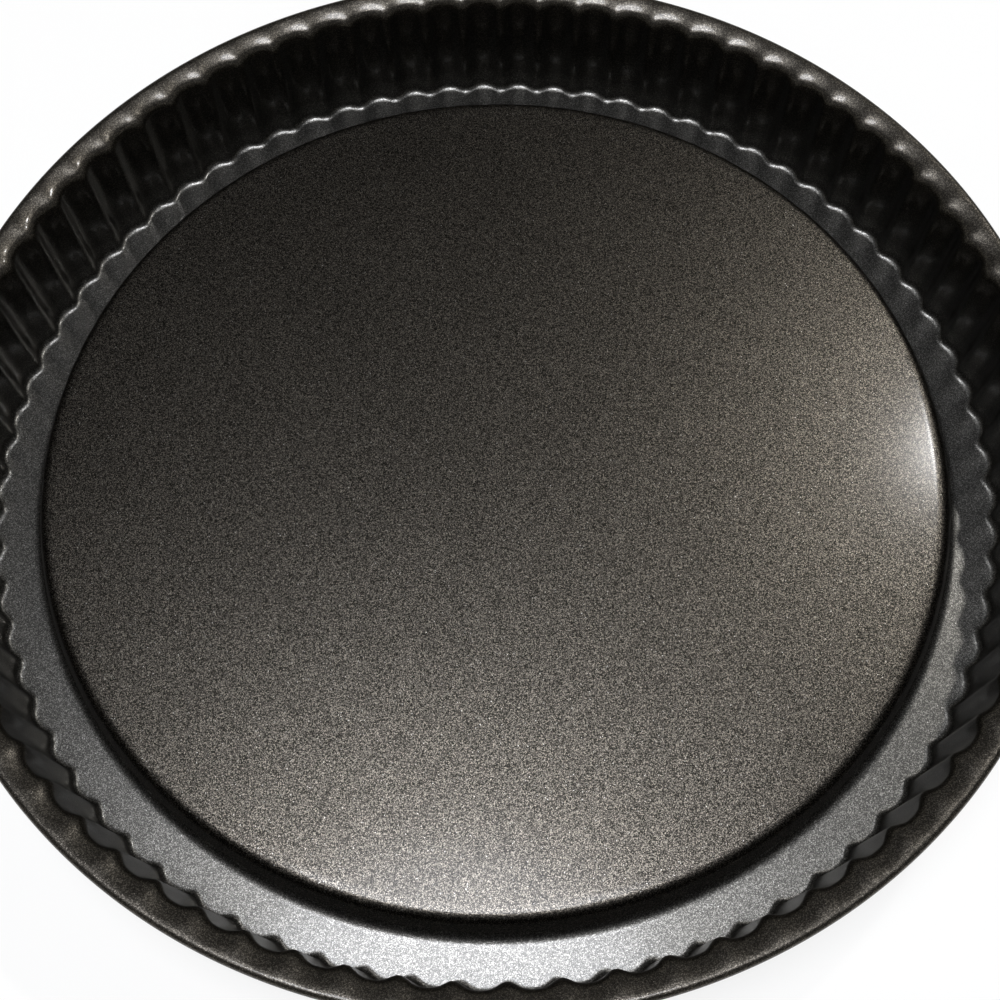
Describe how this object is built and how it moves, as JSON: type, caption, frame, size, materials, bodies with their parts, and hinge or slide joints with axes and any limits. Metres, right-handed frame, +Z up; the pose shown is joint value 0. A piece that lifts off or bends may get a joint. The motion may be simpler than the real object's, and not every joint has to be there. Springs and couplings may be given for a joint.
{
  "type": "fluted tart pan",
  "caption": "Round dark non-stick tart pan with a fluted wall, a rolled rim, a flat channel and a raised base that lifts straight out.",
  "frame": {"origin": "on the pan's axis, on the surface that the pan stands on", "axes": "+Z up along the pan's axis, from the channel's underside to the rim; +Y through the middle of one flute's hollow"},
  "size_m": [0.28, 0.28, 0.0359],
  "materials": {
    "ring_coating": "satin dark non-stick coating with a fine metallic fleck on steel sheet",
    "base_coating": "satin dark non-stick coating with a fine metallic fleck on steel sheet"
  },
  "bodies": {
    "ring": {"fluted_ring": "ring_coating"},
    "base": {"lifting_base": "base_coating"}
  },
  "joints": [
    {"name": "base_lift", "type": "slide", "parent": "ring", "child": "base", "axis": [0, 0, 1], "range_m": [0, 0.06]}
  ]
}
